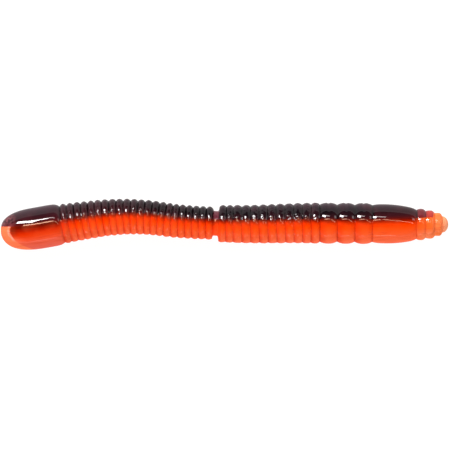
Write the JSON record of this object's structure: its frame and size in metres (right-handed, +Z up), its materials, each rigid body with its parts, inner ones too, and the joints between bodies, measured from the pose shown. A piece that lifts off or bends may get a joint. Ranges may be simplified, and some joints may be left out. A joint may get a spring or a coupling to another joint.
{
  "type": "soft plastic worm lure",
  "caption": "Ribbed soft plastic worm lure with a smooth tail bulb, narrow waist, wide rings, smooth collar and tapered ringed nose, poured as a dark back over an orange belly.",
  "frame": {"origin": "middle of the bounding box in X and Y, on the surface that the worm lies on", "axes": "+X towards the nose along the length, +Y towards the dark back, +Z up from the surface; the worm lies on its side"},
  "size_m": [0.112, 0.0125, 0.0105],
  "materials": {
    "dark_back": "wet gloss",
    "orange_belly": "wet gloss"
  },
  "bodies": {
    "tail_bulb": {"tail_bulb_back": "dark_back", "tail_bulb_belly": "orange_belly"},
    "rear_ribs_1": {"rear_ribs_1_back": "dark_back", "rear_ribs_1_belly": "orange_belly", "bulb_neck_back": "dark_back", "bulb_neck_belly": "orange_belly"},
    "rear_ribs_2": {"rear_ribs_2_back": "dark_back", "rear_ribs_2_belly": "orange_belly", "rear_neck_1_back": "dark_back", "rear_neck_1_belly": "orange_belly"},
    "rear_ribs_3": {"rear_ribs_3_back": "dark_back", "rear_ribs_3_belly": "orange_belly", "rear_neck_2_back": "dark_back", "rear_neck_2_belly": "orange_belly"},
    "rear_ribs_4": {"rear_ribs_4_back": "dark_back", "rear_ribs_4_belly": "orange_belly", "rear_neck_3_back": "dark_back", "rear_neck_3_belly": "orange_belly"},
    "rear_ribs_5": {"rear_ribs_5_back": "dark_back", "rear_ribs_5_belly": "orange_belly", "rear_neck_4_back": "dark_back", "rear_neck_4_belly": "orange_belly"},
    "front_ribs_1": {"front_ribs_1_back": "dark_back", "front_ribs_1_belly": "orange_belly", "waist_back": "dark_back", "waist_belly": "orange_belly", "front_neck_1_back": "dark_back", "front_neck_1_belly": "orange_belly"},
    "front_ribs_2": {"front_ribs_2_back": "dark_back", "front_ribs_2_belly": "orange_belly", "front_neck_2_back": "dark_back", "front_neck_2_belly": "orange_belly"},
    "front_ribs_3": {"front_ribs_3_back": "dark_back", "front_ribs_3_belly": "orange_belly", "front_neck_3_back": "dark_back", "front_neck_3_belly": "orange_belly"},
    "front_ribs_4": {"front_ribs_4_back": "dark_back", "front_ribs_4_belly": "orange_belly", "ring_neck_back": "dark_back", "ring_neck_belly": "orange_belly"},
    "wide_rings": {"wide_rings_back": "dark_back", "wide_rings_belly": "orange_belly", "collar_neck_back": "dark_back", "collar_neck_belly": "orange_belly"},
    "collar": {"collar_back": "dark_back", "collar_belly": "orange_belly", "nose_neck_back": "dark_back", "nose_neck_belly": "orange_belly"},
    "nose": {"nose_back": "dark_back", "nose_belly": "orange_belly"}
  },
  "joints": [
    {"name": "rear_curl", "type": "hinge", "parent": "front_ribs_1", "child": "rear_ribs_5", "pos_m": [-0.00219, -0.00009, 0.00525], "axis": [0, 0, -1], "range_deg": [-12, 12], "stiffness_Nm_per_rad": 0.0087, "deforming": ["waist_back", "waist_belly"]},
    {"name": "rear_curl_2", "type": "hinge", "parent": "rear_ribs_5", "child": "rear_ribs_4", "pos_m": [-0.01154, 0.00049, 0.00525], "axis": [0, 0, -1], "range_deg": [-12, 12], "deforming": ["rear_neck_4_back", "rear_neck_4_belly"]},
    {"name": "rear_lift", "type": "hinge", "parent": "rear_ribs_4", "child": "rear_ribs_3", "pos_m": [-0.02009, 0.00146, 0.00525], "axis": [0, 1, 0], "range_deg": [-12, 12], "stiffness_Nm_per_rad": 0.0016, "deforming": ["rear_neck_3_back", "rear_neck_3_belly"]},
    {"name": "rear_curl_3", "type": "hinge", "parent": "rear_ribs_3", "child": "rear_ribs_2", "pos_m": [-0.02697, 0.00152, 0.00525], "axis": [0, 0, -1], "range_deg": [-12, 12], "deforming": ["rear_neck_2_back", "rear_neck_2_belly"]},
    {"name": "rear_curl_4", "type": "hinge", "parent": "rear_ribs_2", "child": "rear_ribs_1", "pos_m": [-0.03381, 0.0008, 0.00525], "axis": [0, 0, -1], "range_deg": [-12, 12], "deforming": ["rear_neck_1_back", "rear_neck_1_belly"]},
    {"name": "bulb_curl", "type": "hinge", "parent": "rear_ribs_1", "child": "tail_bulb", "pos_m": [-0.04061, -0.00022, 0.00525], "axis": [0, 0, -1], "range_deg": [-12, 12], "deforming": ["bulb_neck_back", "bulb_neck_belly"]},
    {"name": "front_curl", "type": "hinge", "parent": "front_ribs_1", "child": "front_ribs_2", "pos_m": [0.00433, -0.00026, 0.00525], "axis": [0, 0, 1], "range_deg": [-12, 12], "stiffness_Nm_per_rad": 0.0087, "deforming": ["front_neck_1_back", "front_neck_1_belly"]},
    {"name": "front_lift", "type": "hinge", "parent": "front_ribs_2", "child": "front_ribs_3", "pos_m": [0.01081, -0.0002, 0.00525], "axis": [0, -1, 0], "range_deg": [-12, 12], "stiffness_Nm_per_rad": 0.0024, "deforming": ["front_neck_2_back", "front_neck_2_belly"]},
    {"name": "front_curl_2", "type": "hinge", "parent": "front_ribs_3", "child": "front_ribs_4", "pos_m": [0.01728, -0.00003, 0.00525], "axis": [0, 0, 1], "range_deg": [-12, 12], "deforming": ["front_neck_3_back", "front_neck_3_belly"]},
    {"name": "front_curl_3", "type": "hinge", "parent": "front_ribs_4", "child": "wide_rings", "pos_m": [0.02377, -0.00003, 0.00525], "axis": [0, 0, 1], "range_deg": [-12, 12], "deforming": ["ring_neck_back", "ring_neck_belly"]},
    {"name": "front_curl_4", "type": "hinge", "parent": "wide_rings", "child": "collar", "pos_m": [0.03693, -0.00015, 0.00525], "axis": [0, 0, 1], "range_deg": [-12, 12], "deforming": ["collar_neck_back", "collar_neck_belly"]},
    {"name": "nose_curl", "type": "hinge", "parent": "collar", "child": "nose", "pos_m": [0.05028, -0.00038, 0.00525], "axis": [0, 0, 1], "range_deg": [-12, 12], "deforming": ["nose_neck_back", "nose_neck_belly"]}
  ],
  "couplings": [
    {"joint": "rear_curl_2", "follows": "rear_curl", "ratio": 1},
    {"joint": "rear_curl_3", "follows": "rear_curl", "ratio": 1},
    {"joint": "rear_curl_4", "follows": "rear_curl", "ratio": 1},
    {"joint": "bulb_curl", "follows": "rear_curl", "ratio": 1},
    {"joint": "front_curl_2", "follows": "front_curl", "ratio": 1},
    {"joint": "front_curl_3", "follows": "front_curl", "ratio": 1},
    {"joint": "front_curl_4", "follows": "front_curl", "ratio": 1},
    {"joint": "nose_curl", "follows": "front_curl", "ratio": 1}
  ]
}
